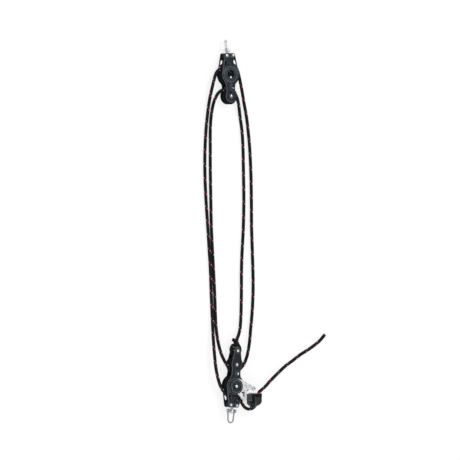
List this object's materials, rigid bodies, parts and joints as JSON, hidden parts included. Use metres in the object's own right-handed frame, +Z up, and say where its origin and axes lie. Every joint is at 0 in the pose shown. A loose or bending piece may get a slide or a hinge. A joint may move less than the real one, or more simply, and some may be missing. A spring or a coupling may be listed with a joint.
{
  "type": "block and tackle",
  "caption": "Rope tackle lying slack: two fiddle blocks on swivel shackles, ball-bearing sheaves, becket and a pivoting cam cleat that holds the hauling end",
  "frame": {"origin": "on the ground plane, below the centre of the tackle as it lies (measured without the loose tail)", "axes": "+X from the upper block to the lower block, the direction of the line; +Z up from the ground, along every sheave axle; +Y towards the side on which the cleat and the hauling end lie"},
  "size_m": [0.9141, 0.3551, 0.034],
  "materials": {
    "moulded_nylon": "glass-filled nylon, fine moulded grain, black",
    "sheave_nylon": "turned acetal, smooth, black",
    "polished_steel": "electropolished stainless steel",
    "spring_steel": "drawn spring wire",
    "red_nylon": "moulded nylon, red",
    "braided_rope": "polyester double braid, black with paired red tracer flecks"
  },
  "bodies": {
    "lower_block": {"lower_cheek_near": "moulded_nylon", "lower_cheek_far": "moulded_nylon", "lower_head": "moulded_nylon", "lower_head_rivet_1": "polished_steel", "lower_head_rivet_2": "polished_steel", "lower_small_axle": "polished_steel", "lower_becket_pin": "polished_steel", "lower_hub_sleeve": "moulded_nylon", "arm_disc_near": "moulded_nylon", "arm_disc_far": "moulded_nylon", "arm_bolt": "polished_steel", "rope_knot": "braided_rope", "rope_on_lower_small": "braided_rope", "rope_on_lower_big": "braided_rope", "rope_fall_1": "braided_rope", "rope_fall_2": "braided_rope", "rope_fall_3": "braided_rope", "rope_fall_4": "braided_rope", "rope_lead": "braided_rope"},
    "upper_block": {"upper_cheek_near": "moulded_nylon", "upper_cheek_far": "moulded_nylon", "upper_head": "moulded_nylon", "upper_head_rivet_1": "polished_steel", "upper_head_rivet_2": "polished_steel", "upper_small_axle": "polished_steel", "upper_hub_sleeve": "moulded_nylon", "upper_hub_rivet": "polished_steel", "rope_on_upper_big": "braided_rope", "rope_on_upper_small": "braided_rope"},
    "upper_small": {"upper_small_sheave": "sheave_nylon"},
    "lower_small": {"lower_small_sheave": "sheave_nylon"},
    "upper_big": {"upper_big_sheave": "sheave_nylon"},
    "lower_big": {"lower_big_sheave": "sheave_nylon"},
    "upper_cage": {"upper_ball_cage": "sheave_nylon"},
    "lower_cage": {"lower_ball_cage": "sheave_nylon"},
    "upper_swivel": {"upper_swivel": "polished_steel"},
    "lower_swivel": {"lower_swivel": "polished_steel"},
    "upper_shackle": {"upper_shackle_bow": "polished_steel", "upper_shackle_pin": "polished_steel"},
    "lower_shackle": {"lower_shackle_bow": "polished_steel", "lower_shackle_pin": "polished_steel"},
    "cleat_arm": {"arm_plate_near": "polished_steel", "arm_plate_far": "polished_steel", "arm_web": "polished_steel", "arm_standoff_1": "polished_steel", "arm_standoff_2": "polished_steel", "cleat_riser": "moulded_nylon", "cleat_base": "moulded_nylon", "cleat_cap": "moulded_nylon", "cleat_post_1": "polished_steel", "cleat_post_2": "polished_steel", "cleat_spring_1": "spring_steel", "cleat_spring_2": "spring_steel", "cleat_fairlead": "moulded_nylon", "cleat_rim": "red_nylon", "rope_tail": "braided_rope"},
    "cam_1": {"cleat_cam_1": "moulded_nylon"},
    "cam_2": {"cleat_cam_2": "moulded_nylon"}
  },
  "joints": [
    {"name": "haul", "type": "slide", "parent": "lower_block", "child": "upper_block", "axis": [1, 0, 0], "range_m": [0, 0.45], "deforming": ["rope_fall_1", "rope_fall_2", "rope_fall_3", "rope_fall_4"]},
    {"name": "upper_small_spin", "type": "hinge", "parent": "upper_block", "child": "upper_small", "pos_m": [-0.32243, -0.01087, 0.0125], "axis": [0, 0, 1], "continuous": true},
    {"name": "lower_small_spin", "type": "hinge", "parent": "lower_block", "child": "lower_small", "pos_m": [0.3169, 0.00273, 0.017], "axis": [0, 0, 1], "continuous": true},
    {"name": "upper_big_spin", "type": "hinge", "parent": "upper_block", "child": "upper_big", "pos_m": [-0.3744, -0.0125, 0.0125], "axis": [0, 0, 1], "continuous": true},
    {"name": "lower_big_spin", "type": "hinge", "parent": "lower_block", "child": "lower_big", "pos_m": [0.3687, -0.0018, 0.017], "axis": [0, 0, 1], "continuous": true},
    {"name": "upper_cage_spin", "type": "hinge", "parent": "upper_block", "child": "upper_cage", "pos_m": [-0.3744, -0.0125, 0.0125], "axis": [0, 0, 1], "continuous": true},
    {"name": "lower_cage_spin", "type": "hinge", "parent": "lower_block", "child": "lower_cage", "pos_m": [0.3687, -0.0018, 0.017], "axis": [0, 0, 1], "continuous": true},
    {"name": "upper_swivel_turn", "type": "hinge", "parent": "upper_block", "child": "upper_swivel", "pos_m": [-0.43287, -0.01434, 0.0125], "axis": [0.9995, 0.0314, 0], "continuous": true},
    {"name": "lower_swivel_turn", "type": "hinge", "parent": "lower_block", "child": "lower_swivel", "pos_m": [0.42698, -0.0069, 0.017], "axis": [-0.9962, 0.0872, 0], "continuous": true},
    {"name": "upper_shackle_swing", "type": "hinge", "parent": "upper_swivel", "child": "upper_shackle", "pos_m": [-0.43287, -0.01434, 0.0125], "axis": [0.0118, -0.3744, 0.9272], "range_deg": [-90, 68]},
    {"name": "lower_shackle_swing", "type": "hinge", "parent": "lower_swivel", "child": "lower_shackle", "pos_m": [0.42698, -0.0069, 0.017], "axis": [-0.0872, -0.9962, 0], "range_deg": [-80, 80]},
    {"name": "cleat_arm_turn", "type": "hinge", "parent": "lower_block", "child": "cleat_arm", "pos_m": [0.3687, -0.0018, 0.017], "axis": [0, 0, 1], "range_deg": [-12, 25], "deforming": ["rope_lead"]},
    {"name": "cam_1_turn", "type": "hinge", "parent": "cleat_arm", "child": "cam_1", "pos_m": [0.4042, 0, 0.0259], "axis": [0, 1, 0], "range_deg": [0, 30], "stiffness_Nm_per_rad": 0.02, "springref_deg": -28.65},
    {"name": "cam_2_turn", "type": "hinge", "parent": "cleat_arm", "child": "cam_2", "pos_m": [0.4042, 0, 0.0081], "axis": [0, -1, 0], "range_deg": [0, 30], "stiffness_Nm_per_rad": 0.02, "springref_deg": -28.65}
  ],
  "couplings": [
    {"joint": "upper_small_spin", "follows": "haul", "rad_per_m": 55.556},
    {"joint": "lower_small_spin", "follows": "haul", "rad_per_m": 111.11},
    {"joint": "upper_big_spin", "follows": "haul", "rad_per_m": 113.21},
    {"joint": "lower_big_spin", "follows": "haul", "rad_per_m": 150.94},
    {"joint": "upper_cage_spin", "follows": "haul", "rad_per_m": 66.091},
    {"joint": "lower_cage_spin", "follows": "haul", "rad_per_m": 88.121}
  ]
}
